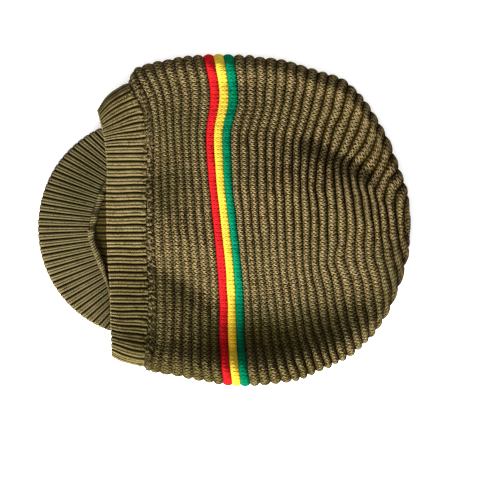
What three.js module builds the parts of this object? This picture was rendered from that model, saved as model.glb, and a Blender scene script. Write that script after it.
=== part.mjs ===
// A slouchy knitted tam with a knitted peak, lying flat on its front as it is laid on a table.
// The hat is one soft tube of thick cotton knit, closed at the far end and open at the rim:
//   a ribbed cuff band, eight welted ridges, three one-ridge stripes in red, gold and green,
//   and more ridges that narrow to the middle of the crown, which lies just under the far edge.
// A stiff, ribbed peak is sewn to the front half of the rim and lies on the table beside it.
// X runs from the peak to the far end of the crown, Y across the hat, Z up from the table.
import * as THREE from "three";

// Driving sizes, in millimetres
const CROWN_WIDTH = 282; // across the crown, fold to fold
const CROWN_DEPTH = 225; // from the band's seam to the far end
const BAND_DEPTH = 34; // from the band's seam to the rim
const RIM_WIDTH = 207; // across the rim, fold to fold
const RIM_SHIFT = -11.5; // the rim's middle, off the crown's middle line
const LOFT = 24; // height of the rolled edges over the table
const FOLD_RADIUS = 12; // of the side folds, seen from above
const CENTRE_SAG = 2; // how far the upper layer sinks inside the rolled edges
const CROWN_WALL = 4.2; // knit thickness over a ridge
const RIDGE_DEPTH = 2.1; // groove below the ridge tops
const BAND_WALL = 3.8;
const RIB_DEPTH = 1.5;
const SEAM_GAP = 0.35; // between neighbouring pieces of knit
const PEAK_REACH = 58; // how far the peak stands out past the rim
const PEAK_RADIUS = 92.5; // of the peak's outline
const PEAK_THICKNESS = 5.2;
const PEAK_RIB_DEPTH = 1.1;
const PEAK_SHIFT = -6; // the peak's middle line, off the crown's
const PEAK_END = 6; // width of the peak's two ends, where they meet the rim
const RIB_FAN_SETBACK = 36; // from the outline's centre back to where the peak's ribs point

// Counts
const RIDGES = { lower: 8, red: 1, gold: 1, green: 1, upper: 23 };
const BAND_RIBS = 76;
const PEAK_RIBS = 36;
const ROUND = { fold: 3, over: 22, under: 8 }; // steps round the crown: half a fold, upper and lower layer
const TIP_RINGS = [6, 2.5]; // ridges before the middle of the crown at which its inside is stepped

// One row for each measured course of the crown, on the ridge number that it follows from the band's seam.
// north, south: the side folds, as shares of half the crown's width.
// xn, x1 to x7, xs: where the course lies along the hat from the north fold to the south fold, in eighths
// of the way across the upper layer. under: the middle of the same course in the layer below.
// All of these are shares of the crown's depth. top and fold: heights as shares of the loft.
const COURSE_COLUMNS = "ridge north south xn x1 x2 x3 x4 x5 x6 x7 xs under top fold";
const COURSES = table(COURSE_COLUMNS, [
  [0, 0.832, -0.88, -0.068, -0.009, 0.004, 0.0, 0.0, 0.002, 0.008, 0.004, -0.008, -0.038, 1, 0.5],
  [1, 0.906, -0.914, -0.05, 0.018, 0.03, 0.029, 0.031, 0.035, 0.042, 0.037, 0.016, -0.008, 1, 0.5],
  [4, 0.967, -0.946, 0.06, 0.102, 0.109, 0.117, 0.124, 0.136, 0.143, 0.136, 0.136, 0.083, 1, 0.5],
  [8, 1.0, -0.994, 0.215, 0.241, 0.224, 0.234, 0.25, 0.267, 0.275, 0.277, 0.29, 0.196, 1, 0.5],
  [11, 1.0, -1.0, 0.331, 0.347, 0.32, 0.324, 0.341, 0.358, 0.369, 0.375, 0.392, 0.286, 1, 0.5],
  [15, 0.976, -0.973, 0.493, 0.486, 0.452, 0.452, 0.461, 0.471, 0.49, 0.508, 0.55, 0.403, 1, 0.5],
  [19, 0.904, -0.898, 0.652, 0.623, 0.588, 0.582, 0.588, 0.591, 0.61, 0.633, 0.678, 0.524, 1, 0.5],
  [21, 0.862, -0.856, 0.731, 0.693, 0.652, 0.64, 0.652, 0.652, 0.674, 0.695, 0.734, 0.58, 1, 0.5],
  [23, 0.778, -0.79, 0.802, 0.763, 0.704, 0.712, 0.719, 0.719, 0.74, 0.759, 0.795, 0.637, 1, 0.5],
  [25, 0.664, -0.712, 0.855, 0.827, 0.763, 0.78, 0.791, 0.787, 0.814, 0.829, 0.847, 0.693, 1, 0.5],
  [27, 0.489, -0.604, 0.915, 0.874, 0.832, 0.849, 0.859, 0.859, 0.878, 0.895, 0.9, 0.753, 1, 0.5],
  [29, 0.315, -0.405, 0.96, 0.913, 0.9, 0.908, 0.915, 0.923, 0.934, 0.949, 0.957, 0.81, 1, 0.5],
  [31, 0.153, -0.165, 0.991, 0.981, 0.977, 0.976, 0.976, 0.977, 0.979, 0.987, 0.994, 0.87, 0.91, 0.5],
  [32, 0.087, -0.117, 0.993, 0.996, 0.998, 1.0, 1.0, 1.0, 0.998, 0.996, 0.993, 0.896, 0.5, 0.38],
  [33, 0.035, -0.065, 0.978, 0.984, 0.988, 0.989, 0.989, 0.989, 0.988, 0.984, 0.978, 0.927, 0.22, 0.12],
  [34, -0.009, -0.009, 0.957, 0.957, 0.957, 0.957, 0.957, 0.957, 0.957, 0.957, 0.957, 0.957, 0, 0],
]);

// The rim, in the same eighths, as shares of the band's depth in front of the seam.
const RIM_COLUMNS = "layer xn x1 x2 x3 x4 x5 x6 x7 xs";
const [RIM_OVER, RIM_UNDER] = table(RIM_COLUMNS, [
  ["over", 1.24, 1.05, 0.99, 1.01, 1.0, 0.96, 0.91, 0.9, 0.875],
  ["under", 1.24, 0.95, 0.925, 1.175, 1.35, 1.1, 0.875, 0.775, 0.875],
]);
const RIM_HEIGHT = { top: 0.74, fold: 0.34 }; // shares of the loft

// Hollows and swells of the upper layer, each along a line from one point to another.
// x is a share of the crown's depth, y of half its width, breadth of its width and depth of the loft.
const DENTS = table("name x y toX toY breadth depth", [
  ["south_valley", 0.02, -0.5, 0.77, -0.6, 0.085, 0.24],
  ["middle_swell", 0.02, -0.09, 0.84, -0.1, 0.1, -0.07],
  ["north_hollow", 0.15, 0.68, 0.45, 0.71, 0.05, 0.12],
  ["crease", 0.575, 0.475, 0.88, 0.255, 0.036, 0.16],
  ["cuff_fold", 0.02, -0.27, 0.26, -0.5, 0.04, 0.1],
  ["side_dimple", 0.05, 0.3, 0.1, 0.29, 0.05, 0.08],
]);

// The peak's upper face from the sewn edge to the outline: share of the way, and share of its thickness.
const PEAK_PROFILE = table("share top", [
  [0, 0.8],
  [0.2, 1],
  [0.9, 0.95],
  [1, 0.45],
]);
const PEAK_UNDERSIDE = 0.97; // share of the way to the outline at which the flat underside ends
const PEAK_SHOULDER = 0.008; // how much the outline stands out past a circle at its shoulders, as a share
const FAN_RANGE = { least: 0.5, most: 1.2 }; // radians off the middle between which the peak's ends are found
const HALVINGS = 40; // of a range that is searched

const NARROW_FOLD = 0.42; // share of a narrow course's width that each of its folds may take up
const SAG_RUN = 24; // how far inside the folds the sag is complete
const NORMAL_STEP = { along: 0.02, turn: 0.002 }; // between the neighbours that give a face's normal

const YARN = {
  olive: { color: 0x6b6140, roughness: 0.95, metalness: 0 },
  red: { color: 0xc8141e, roughness: 0.95, metalness: 0 },
  gold: { color: 0xe8c93a, roughness: 0.95, metalness: 0 },
  green: { color: 0x0c7f57, roughness: 0.95, metalness: 0 },
};

const EIGHTHS = ["xn", "x1", "x2", "x3", "x4", "x5", "x6", "x7", "xs"];
const LAST_RIDGE = Object.values(RIDGES).reduce((sum, n) => sum + n, 0);
const SEAM_TRIM = (SEAM_GAP / 2) * (LAST_RIDGE / CROWN_DEPTH); // half the gap, in ridges
const TABLE_SCALE = COURSES.at(-1).ridge / LAST_RIDGE; // courses keep their places if ridges are recounted

// A table's rows as objects with named values.
function table(columns, rows) {
  const names = columns.split(" ");
  return rows.map((row) => Object.fromEntries(names.map((name, i) => [name, row[i]])));
}

const clamp = (value, low, high) => Math.min(high, Math.max(low, value));
const mix = (a, b, share) => a + (b - a) * share;
const ease = (share) => {
  const s = clamp(share, 0, 1);
  return s * s * (3 - 2 * s);
};

// Slope at knot i of a curve that never overshoots its knots.
function knotSlope(xs, ys, i) {
  const rise = (k) => (ys[k + 1] - ys[k]) / (xs[k + 1] - xs[k]);
  if (i === 0) return rise(0);
  if (i === xs.length - 1) return rise(i - 1);
  const [before, after] = [rise(i - 1), rise(i)];
  return before * after <= 0 ? 0 : (2 * before * after) / (before + after);
}

// The value at x of a smooth curve through the knots.
function curve(xs, ys, x) {
  const at = clamp(x, xs[0], xs.at(-1));
  let i = xs.findIndex((knot, k) => k > 0 && at <= knot) - 1;
  if (i < 0) i = 0;
  const span = xs[i + 1] - xs[i];
  const t = (at - xs[i]) / span;
  const [a, b] = [knotSlope(xs, ys, i) * span, knotSlope(xs, ys, i + 1) * span];
  const [t2, t3] = [t * t, t * t * t];
  return (
    (2 * t3 - 3 * t2 + 1) * ys[i] + (t3 - 2 * t2 + t) * a + (3 * t2 - 2 * t3) * ys[i + 1] + (t3 - t2) * b
  );
}

const courseKnots = COURSES.map((row) => row.ridge);
const courseValue = (column, ridge) =>
  curve(courseKnots, COURSES.map((row) => row[column]), ridge * TABLE_SCALE);

// A course of the crown in millimetres: its side folds, its lines in both layers and its heights.
function crownSection(ridge) {
  const over = EIGHTHS.map((column) => courseValue(column, ridge) * CROWN_DEPTH);
  const middle = courseValue("under", ridge) * CROWN_DEPTH;
  const bow = middle - (over[0] + over[8]) / 2;
  return {
    north: (courseValue("north", ridge) * CROWN_WIDTH) / 2,
    south: (courseValue("south", ridge) * CROWN_WIDTH) / 2,
    over,
    under: over.map((_, i) => mix(over[0], over[8], i / 8) + bow * (1 - (i / 4 - 1) ** 2)),
    top: courseValue("top", ridge) * LOFT,
    fold: courseValue("fold", ridge) * LOFT,
  };
}

// A course of the band, from the rim at height 0 to the seam at 1. Its corners turn softly.
function bandSection(height) {
  const seam = crownSection(0);
  const share = 1 - height;
  const turn = (share * Math.PI) / 2;
  const along = (share + Math.sin(turn)) / 2;
  const across = (share + 1 - Math.cos(turn)) / 2;
  const line = (from, rim) =>
    EIGHTHS.map((column, i) => {
      const corner = i === 0 || i === 8;
      return mix(from[i], -rim[column] * BAND_DEPTH, corner ? along : share);
    });
  return {
    north: mix(seam.north, RIM_SHIFT + RIM_WIDTH / 2, across),
    south: mix(seam.south, RIM_SHIFT - RIM_WIDTH / 2, across),
    over: line(seam.over, RIM_OVER),
    under: line(seam.under, RIM_UNDER),
    top: mix(seam.top, RIM_HEIGHT.top * LOFT, share),
    fold: mix(seam.fold, RIM_HEIGHT.fold * LOFT, share),
  };
}

// How far the dents press the upper layer down at a point.
function dentDepth(x, y) {
  let sum = 0;
  for (const dent of DENTS) {
    const from = new THREE.Vector2(dent.x * CROWN_DEPTH, (dent.y * CROWN_WIDTH) / 2);
    const line = new THREE.Vector2(dent.toX * CROWN_DEPTH, (dent.toY * CROWN_WIDTH) / 2).sub(from);
    const point = new THREE.Vector2(x, y).sub(from);
    const along = clamp(point.dot(line) / line.lengthSq(), 0, 1);
    const away = point.sub(line.multiplyScalar(along)).length() / (dent.breadth * CROWN_WIDTH);
    sum += dent.depth * LOFT * Math.exp(-away * away);
  }
  return sum;
}

// A point on the knit's outer face. turn goes once round a section by length: from the north fold over
// the upper layer to the south fold, and back under the lower layer.
function facePoint(section, turn) {
  const width = section.north - section.south;
  const cap = Math.min(FOLD_RADIUS, width * NARROW_FOLD);
  const quarter = (cap * Math.PI) / 2;
  const flat = width - 2 * cap;
  const half = 2 * quarter + flat;
  const length = (turn - Math.floor(turn)) * 2 * half;
  const upper = length < half;
  const run = upper ? length : 2 * half - length; // from the north fold, in either layer
  let [inset, rise] = [run - quarter + cap, 1];
  if (run < quarter) {
    inset = cap * (1 - Math.cos(run / cap));
    rise = Math.sin(run / cap);
  } else if (run > quarter + flat) {
    const left = (half - run) / cap;
    inset = width - cap * (1 - Math.cos(left));
    rise = Math.sin(left);
  }
  const across = width > 0 ? inset / width : 0;
  const y = section.north - inset;
  const eighths = EIGHTHS.map((_, i) => i / 8);
  const x = curve(eighths, upper ? section.over : section.under, across);
  if (!upper) return new THREE.Vector3(x, y, section.fold * (1 - rise));
  const inside = ease((Math.min(inset, width - inset) - cap) / SAG_RUN);
  const fullness = section.top / LOFT;
  const sag = fullness * (CENTRE_SAG * inside + dentDepth(x, y) * rise);
  return new THREE.Vector3(x, y, section.fold + (section.top - section.fold) * rise - sag * rise);
}

// Outward normal of a face, from its neighbours.
function faceNormal(face, along, turn) {
  const step = NORMAL_STEP;
  const alongStep = face(along + step.along, turn).sub(face(along - step.along, turn));
  const turnStep = face(along, turn + step.turn).sub(face(along, turn - step.turn));
  return turnStep.cross(alongStep).normalize();
}

const crownFace = (ridge, turn) => facePoint(crownSection(clamp(ridge, 0, LAST_RIDGE)), turn);
const bandFace = (share, turn) => facePoint(bandSection(clamp(share, 0, 1)), turn);

// The turns at which a crown course is stepped: close together round the folds, wider across the layers.
function crownTurns() {
  const turns = [];
  const halfFold = (FOLD_RADIUS * Math.PI) / 2;
  const foldShare = halfFold / (2 * (CROWN_WIDTH - 2 * FOLD_RADIUS) + 4 * halfFold);
  const steps = (from, to, count) => {
    for (let i = 0; i < count; i++) turns.push(mix(from, to, i / count));
  };
  steps(0, foldShare, ROUND.fold);
  steps(foldShare, 0.5 - foldShare, ROUND.over);
  steps(0.5 - foldShare, 0.5 + foldShare, 2 * ROUND.fold);
  steps(0.5 + foldShare, 1 - foldShare, ROUND.under);
  steps(1 - foldShare, 1, ROUND.fold);
  return turns;
}

// A closed geometry from rings of points. Each ring goes round the same way, and the first joins the last,
// unless the ends are single points.
function ringsToGeometry(rings, joinEnds) {
  const starts = [];
  const points = [];
  for (const ring of rings) {
    starts.push(points.length);
    points.push(...ring);
  }
  const faces = [];
  const count = joinEnds ? rings.length : rings.length - 1;
  for (let r = 0; r < count; r++) {
    const [a, b] = [r, (r + 1) % rings.length];
    const steps = Math.max(rings[a].length, rings[b].length);
    for (let i = 0; i < steps; i++) {
      const j = (i + 1) % steps;
      const [a0, a1] = rings[a].length === 1 ? [starts[a], starts[a]] : [starts[a] + i, starts[a] + j];
      const [b0, b1] = rings[b].length === 1 ? [starts[b], starts[b]] : [starts[b] + i, starts[b] + j];
      if (a0 !== a1) faces.push(a0, b0, a1);
      if (b0 !== b1) faces.push(a1, b0, b1);
    }
  }
  const geometry = new THREE.BufferGeometry().setFromPoints(points);
  geometry.setIndex(faces);
  geometry.computeVertexNormals();
  return geometry;
}

const loopMiddle = (loop) =>
  loop.reduce((sum, point) => sum.add(point), new THREE.Vector3()).divideScalar(loop.length);

// A point of the crown's face, moved into the knit by a distance. At the band's seam the knit's edge
// stands square across the hat, and it turns to follow the face within the first ridge.
function crownPoint(ridge, turn, inward) {
  const normal = faceNormal(crownFace, ridge, turn);
  normal.setX(normal.x * ease(ridge)).normalize();
  return crownFace(ridge, turn).addScaledVector(normal, -inward);
}

// A tube of welted knit from one ridge number to another. Its grooves lie on whole numbers.
function weltedTube(from, to, closed) {
  const turns = crownTurns();
  const [first, last] = [from + SEAM_TRIM, closed ? to : to - SEAM_TRIM];
  const outerStations = [first];
  for (let r = from + 0.5; r < (closed ? last - 0.5 : last) - 0.01; r += 0.5) outerStations.push(r);
  if (!closed) outerStations.push(last);
  const outer = outerStations.map((r) => {
    const groove = Math.abs((r - from) % 1) < 0.25 || r === first || r === last;
    return turns.map((turn) => crownPoint(r, turn, groove ? RIDGE_DEPTH : 0));
  });
  const innerStations = [first];
  for (let r = from + 1; r < (closed ? to - TIP_RINGS[0] : last) - 0.01; r += 1) innerStations.push(r);
  if (closed) innerStations.push(...TIP_RINGS.map((back) => to - back));
  else innerStations.push(last);
  const inner = innerStations.map((r) => turns.map((turn) => crownPoint(r, turn, CROWN_WALL)));
  outer.reverse();
  if (!closed) return ringsToGeometry([...outer, ...inner], true);
  return ringsToGeometry([[crownFace(to, 0)], ...outer, ...inner, [loopMiddle(inner.at(-1))]], false);
}

// A point of the band's seam. It follows the crown's own steps round the hat, a gap away from the crown.
function seamPoint(turn, inward) {
  const turns = [...crownTurns(), 1];
  const i = turns.findIndex((start, k) => turn < turns[k + 1]);
  const share = (turn - turns[i]) / (turns[i + 1] - turns[i]);
  const edge = (at) => crownPoint(0, at, inward).multiplyScalar(2).sub(crownPoint(SEAM_TRIM, at, inward));
  return edge(turns[i]).lerp(edge(turns[i + 1]), share);
}

// The cuff: a tube with ribs that run from the seam to the rim.
function ribbedBand() {
  const turns = [];
  for (let i = 0; i < 2 * BAND_RIBS; i++) turns.push(i / (2 * BAND_RIBS));
  const bandPoint = (height, turn, inward) => {
    if (height === 1) return seamPoint(turn, inward);
    const normal = faceNormal(bandFace, clamp(height, NORMAL_STEP.along, 1 - NORMAL_STEP.along), turn);
    return bandFace(height, turn).addScaledVector(normal, -inward);
  };
  const ring = (height, base, depth) =>
    turns.map((turn, i) => bandPoint(height, turn, i % 2 ? base : base + depth));
  const edge = RIDGE_DEPTH - RIB_DEPTH;
  const outside = [ring(1, edge, RIB_DEPTH), ring(0.5, 0, RIB_DEPTH), ring(0, edge, RIB_DEPTH)];
  const inside = [ring(0, BAND_WALL, 0), ring(0.5, BAND_WALL, 0), ring(1, CROWN_WALL, 0)];
  return ringsToGeometry([...outside, ...inside], true);
}

// The lower rim's line, where the peak is sewn on.
function lowerRimX(y) {
  const section = bandSection(0);
  const across = clamp((section.north - y) / (section.north - section.south), 0, 1);
  return curve(EIGHTHS.map((_, i) => i / 8), section.under, across);
}

// Where a rib of the peak, at an angle from the middle line, starts at the sewn edge and ends at the outline.
function peakRib(angle) {
  const centreX = -BAND_DEPTH - PEAK_REACH + PEAK_RADIUS;
  const fan = new THREE.Vector2(centreX + RIB_FAN_SETBACK, PEAK_SHIFT);
  const ray = new THREE.Vector2(-Math.cos(angle), Math.sin(angle));
  const sewn = (length) => fan.x + ray.x * length - lowerRimX(fan.y + ray.y * length) + SEAM_GAP;
  let [near, far] = [RIB_FAN_SETBACK, RIB_FAN_SETBACK + PEAK_RADIUS];
  for (let i = 0; i < HALVINGS; i++) {
    const middle = (near + far) / 2;
    if (sewn(middle) > 0) near = middle;
    else far = middle;
  }
  // The outline is a circle about its centre, a little square at the shoulders.
  const side = RIB_FAN_SETBACK * Math.sin(angle);
  const reach = RIB_FAN_SETBACK * Math.cos(angle) + Math.sqrt(PEAK_RADIUS ** 2 - side ** 2);
  const shoulder = 1 + PEAK_SHOULDER * Math.sin(2 * angle) ** 2;
  return { fan, ray, inner: (near + far) / 2, outer: reach * shoulder };
}

// The peak's side ends, where its outline meets the sewn edge.
function peakEnd(sign) {
  let [low, high] = [FAN_RANGE.least, FAN_RANGE.most];
  for (let i = 0; i < HALVINGS; i++) {
    const middle = (low + high) / 2;
    const rib = peakRib(sign * middle);
    if (rib.outer - rib.inner > PEAK_END) low = middle;
    else high = middle;
  }
  return sign * low;
}

// The peak: ribs fan out over its top, its underside is flat, and its edge is rounded.
function ribbedPeak() {
  const [south, north] = [peakEnd(-1), peakEnd(1)];
  const rings = [];
  for (let i = 0; i <= 2 * PEAK_RIBS; i++) {
    const rib = peakRib(mix(south, north, i / (2 * PEAK_RIBS)));
    const groove = i % 2 ? 0 : PEAK_RIB_DEPTH;
    const at = (share, z) => {
      const length = mix(rib.inner, rib.outer, share);
      return new THREE.Vector3(rib.fan.x + rib.ray.x * length, rib.fan.y + rib.ray.y * length, z);
    };
    const over = PEAK_PROFILE.map((row) => at(row.share, row.top * (PEAK_THICKNESS - groove)));
    rings.push([...over, at(PEAK_UNDERSIDE, 0), at(0, 0)]);
  }
  return cappedStack(rings);
}

// A closed geometry from a row of open sections, each a loop of points, with a fan over each end.
function cappedStack(loops) {
  return ringsToGeometry([[loopMiddle(loops[0])], ...loops, [loopMiddle(loops.at(-1))]], false);
}

function piece(name, geometry, yarn) {
  const mesh = new THREE.Mesh(geometry, new THREE.MeshStandardMaterial(YARN[yarn]));
  mesh.name = name;
  return mesh;
}

function makeTam() {
  const tam = new THREE.Group();
  tam.add(piece("band", ribbedBand(), "olive"));
  tam.add(piece("peak", ribbedPeak(), "olive"));
  let ridge = 0;
  const courses = [
    ["crown_lower", RIDGES.lower, "olive"],
    ["stripe_red", RIDGES.red, "red"],
    ["stripe_gold", RIDGES.gold, "gold"],
    ["stripe_green", RIDGES.green, "green"],
    ["crown_upper", RIDGES.upper, "olive"],
  ];
  for (const [name, count, yarn] of courses) {
    const closed = ridge + count === LAST_RIDGE;
    tam.add(piece(name, weltedTube(ridge, ridge + count, closed), yarn));
    ridge += count;
  }
  return tam;
}

// The hat stands on the table, with the middle of its footprint at the origin.
const tam = makeTam();
const box = new THREE.Box3().setFromObject(tam, true);
const middle = box.getCenter(new THREE.Vector3());
tam.position.set(-middle.x, -middle.y, -box.min.z);

export default tam;
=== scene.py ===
# The looks of a slouchy knitted tam with a knitted peak, lying flat on its front.
# Sizes are in millimetres in the hat's own frame: x from the band's seam towards the far end of the
# crown, y across the hat with north positive, z up from the table. mesh_object() moves them to the row
# frame, in metres.
import math

import bpy
import numpy as np
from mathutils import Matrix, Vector


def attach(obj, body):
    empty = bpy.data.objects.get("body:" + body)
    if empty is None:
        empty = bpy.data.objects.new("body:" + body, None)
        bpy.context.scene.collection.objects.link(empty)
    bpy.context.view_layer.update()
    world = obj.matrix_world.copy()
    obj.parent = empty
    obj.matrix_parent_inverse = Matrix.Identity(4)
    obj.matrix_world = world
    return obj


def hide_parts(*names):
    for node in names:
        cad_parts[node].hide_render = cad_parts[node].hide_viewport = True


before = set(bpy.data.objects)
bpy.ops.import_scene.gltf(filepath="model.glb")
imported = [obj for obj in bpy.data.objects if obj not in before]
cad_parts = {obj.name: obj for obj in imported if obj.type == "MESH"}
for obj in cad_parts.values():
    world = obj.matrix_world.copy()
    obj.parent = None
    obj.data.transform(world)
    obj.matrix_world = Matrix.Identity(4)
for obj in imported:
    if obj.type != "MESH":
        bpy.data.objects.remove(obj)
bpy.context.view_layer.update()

# The hat's shape

SEAM_X = -66.11  # the band's seam in the row frame
CROWN_WIDTH = 282
CROWN_DEPTH = 225
BAND_DEPTH = 34
RIM_WIDTH = 207
RIM_SHIFT = -11.5
LOFT = 24
FOLD_RADIUS = 12
FOLD_SHARE = 0.42  # the most of a narrow course's width that one fold takes
CROWN_WALL = 4.2
BAND_WALL = 3.8
JOIN = 0.012  # half the gap between neighbouring pieces of the crown, in ridges
LAST_RIDGE = 34
BAND_RIBS = 76
RIB_COLUMNS = 12  # columns of the mesh in each rib
COURSE_PITCH = 1.9  # of the ribbing, along its ribs

TINY = 1e-9
ROUNDING = 1e-6  # so that a ridge number like 7.0 counts as in ridge 7
EIGHTHS = np.linspace(0, 1, 9)

# ridge north south, x on the upper layer in eighths from fold to fold, x under, top, fold.
# Widths are shares of half CROWN_WIDTH, x of CROWN_DEPTH and heights of LOFT.
COURSES = np.array([
    [0, 0.832, -0.88, -0.068, -0.009, 0.004, 0.0, 0.0, 0.002, 0.008, 0.004, -0.008, -0.038, 1, 0.5],
    [1, 0.906, -0.914, -0.05, 0.018, 0.03, 0.029, 0.031, 0.035, 0.042, 0.037, 0.016, -0.008, 1, 0.5],
    [4, 0.967, -0.946, 0.06, 0.102, 0.109, 0.117, 0.124, 0.136, 0.143, 0.136, 0.136, 0.083, 1, 0.5],
    [8, 1.0, -0.994, 0.215, 0.241, 0.224, 0.234, 0.25, 0.267, 0.275, 0.277, 0.29, 0.196, 1, 0.5],
    [11, 1.0, -1.0, 0.331, 0.347, 0.32, 0.324, 0.341, 0.358, 0.369, 0.375, 0.392, 0.286, 1, 0.5],
    [15, 0.976, -0.973, 0.493, 0.486, 0.452, 0.452, 0.461, 0.471, 0.49, 0.508, 0.55, 0.403, 1, 0.5],
    [19, 0.904, -0.898, 0.652, 0.623, 0.588, 0.582, 0.588, 0.591, 0.61, 0.633, 0.678, 0.524, 1, 0.5],
    [21, 0.862, -0.856, 0.731, 0.693, 0.652, 0.64, 0.652, 0.652, 0.674, 0.695, 0.734, 0.58, 1, 0.5],
    [23, 0.778, -0.79, 0.802, 0.763, 0.704, 0.712, 0.719, 0.719, 0.74, 0.759, 0.795, 0.637, 1, 0.5],
    [25, 0.664, -0.712, 0.855, 0.827, 0.763, 0.78, 0.791, 0.787, 0.814, 0.829, 0.847, 0.693, 1, 0.5],
    [27, 0.489, -0.604, 0.915, 0.874, 0.832, 0.849, 0.859, 0.859, 0.878, 0.895, 0.9, 0.753, 1, 0.5],
    [29, 0.315, -0.405, 0.96, 0.913, 0.9, 0.908, 0.915, 0.923, 0.934, 0.949, 0.957, 0.81, 1, 0.5],
    [31, 0.153, -0.165, 0.991, 0.981, 0.977, 0.976, 0.976, 0.977, 0.979, 0.987, 0.994, 0.87, 0.91, 0.5],
    [32, 0.087, -0.117, 0.993, 0.996, 0.998, 1.0, 1.0, 1.0, 0.998, 0.996, 0.993, 0.896, 0.5, 0.38],
    [33, 0.035, -0.065, 0.978, 0.984, 0.988, 0.989, 0.989, 0.989, 0.988, 0.984, 0.978, 0.927, 0.22, 0.12],
    [34, -0.009, -0.009, 0.957, 0.957, 0.957, 0.957, 0.957, 0.957, 0.957, 0.957, 0.957, 0.957, 0, 0],
])
# The rim's upper and lower line in eighths from fold to fold, as shares of BAND_DEPTH past the seam
RIM_OVER = np.array([1.24, 1.05, 0.99, 1.01, 1.0, 0.96, 0.91, 0.9, 0.875])
RIM_UNDER = np.array([1.24, 0.95, 0.925, 1.175, 1.35, 1.1, 0.875, 0.775, 0.875])
RIM_TOP, RIM_FOLD = 0.74, 0.34  # heights, as shares of LOFT

# How far the upper layer lies below the rolled edges, at these shares of the way from the north fold
# to the south fold. Each row starts with its ridge number.
ACROSS = np.array([0, 0.045, 0.09, 0.2, 0.32, 0.44, 0.56, 0.68, 0.74, 0.8, 0.88, 0.955, 1])
DROPS = np.array([
    [0, 0, 0, 1.5, 3.0, 6.0, 5.0, 4.0, 5.5, 5.5, 5.0, 4.0, 0, 0],
    [2, 0, 0, 1.5, 3.5, 7.0, 6.0, 4.0, 6.5, 6.0, 5.5, 4.5, 0, 0],
    [5, 0, 0, 3.0, 5.0, 5.5, 5.5, 3.5, 9.5, 10.5, 9.5, 6.5, 0, 0],
    [11, 0, 0, 3.0, 2.0, 0.5, 1.2, 4.0, 9.0, 11.5, 11.0, 7.5, 0, 0],
    [14, 0, 0, 3.2, 2.2, 0.8, 2.5, 6.5, 11.0, 12.8, 13.0, 9.5, 0, 0],
    [17, 0, 0, 3.0, 3.0, 0.8, 1.8, 5.5, 10.0, 12.5, 13.0, 9.5, 0, 0],
    [20, 0, 0, 4.0, 5.5, 1.5, 1.5, 5.5, 9.5, 12.0, 12.5, 9.0, 0, 0],
    [23, 0, 0, 3.8, 5.5, 3.0, 1.2, 5.0, 8.0, 10.5, 10.5, 7.0, 0, 0],
    [25.5, 0, 0, 3.0, 4.0, 3.0, 0.8, 3.2, 5.2, 6.0, 5.8, 3.8, 0, 0],
    [28.5, 0, 0, 1.0, 1.7, 1.3, 1.5, 1.7, 1.0, 0.6, 0.5, 0.5, 0, 0],
    [31, 0, 0, 0, 0, 0, 0, 0, 0, 0, 0, 0, 0, 0],
    [34, 0, 0, 0, 0, 0, 0, 0, 0, 0, 0, 0, 0, 0],
])
RIM_DROP = np.array([0, 0, 0.5, 1, 3, 3.5, 3.5, 3.5, 3, 2.5, 2, 0, 0])

# Narrow hollows, or rolls where the depth is negative: x, y, x and y of the other end, breadth, depth.
# They are shares of CROWN_DEPTH, half CROWN_WIDTH, CROWN_WIDTH and LOFT.
DENTS = [
    (0.615, 0.465, 0.83, 0.29, 0.024, 0.17),
    (0.4, 0.2, 0.82, 0.17, 0.06, -0.11),
    (0.02, -0.27, 0.26, -0.5, 0.035, 0.08),
]

# Where the ridges are pushed along the hat, as beside a crease: x, y, reach along x and y, distance
SLIDES = [
    (163, 62, 12, 10, 4.2),
    (207, 70, 9, 14, -4.5),
    (164, -35, 10, 8, -2.5),
]

# Soft shadows that lie in the folds of the cloth: x, y, reach along x and y, strength
SHADOWS = [
    (25, -65, 24, 20, 0.45),
    (0, -48, 20, 24, 0.22),
    (3, -110, 26, 22, 0.36),
    (40, -106, 34, 24, 0.32),
    (58, -100, 26, 26, 0.25),
    (92, -92, 40, 20, 0.3),
    (18, 28, 20, 24, 0.5),
    (12, 94, 40, 46, 0.15),
    (33, 81, 12, 20, 0.2),
    (75, 72, 24, 34, 0.1),
    (203, -33, 14, 18, 0.22),
    (-17, -62, 18, 44, 0.4),
    (-14, -98, 20, 20, 0.2),
    (-27, 94, 20, 22, 0.36),
    (-60, 26, 24, 32, 0.35),
    (-48, 42, 16, 22, 0.2),
]


# Curves, surfaces and noise

def smooth(low, high, value):
    """A soft step from 0 at low to 1 at high. It falls where low is above high."""
    s = np.clip((value - low) / (high - low), 0, 1)
    return s * s * (3 - 2 * s)


def spline(xs, ys, x):
    """Smooth curves through knots that never overshoot them. ys and x hold one curve in each row."""
    rise = np.diff(ys, axis=1) / np.diff(xs)
    both = rise[:, :-1] * rise[:, 1:]
    total = np.where(both > 0, rise[:, :-1] + rise[:, 1:], 1)
    inner = np.where(both > 0, 2 * both / total, 0)
    slope = np.concatenate([rise[:, :1], inner, rise[:, -1:]], axis=1)
    at = np.clip(x, xs[0], xs[-1])
    i = np.clip(np.searchsorted(xs, at, side="right") - 1, 0, len(xs) - 2)
    span = xs[i + 1] - xs[i]
    t = (at - xs[i]) / span
    y0, y1 = np.take_along_axis(ys, i, 1), np.take_along_axis(ys, i + 1, 1)
    m0, m1 = np.take_along_axis(slope, i, 1) * span, np.take_along_axis(slope, i + 1, 1) * span
    t2, t3 = t * t, t * t * t
    start = (2 * t3 - 3 * t2 + 1) * y0 + (t3 - 2 * t2 + t) * m0
    return start + (3 * t2 - 2 * t3) * y1 + (t3 - t2) * m1


def read_table(table, at):
    """Rows of a table whose first column holds its knots, read smoothly at these places."""
    return spline(table[:, 0], table[:, 1:].T, np.tile(at, (table.shape[1] - 1, 1))).T


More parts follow.
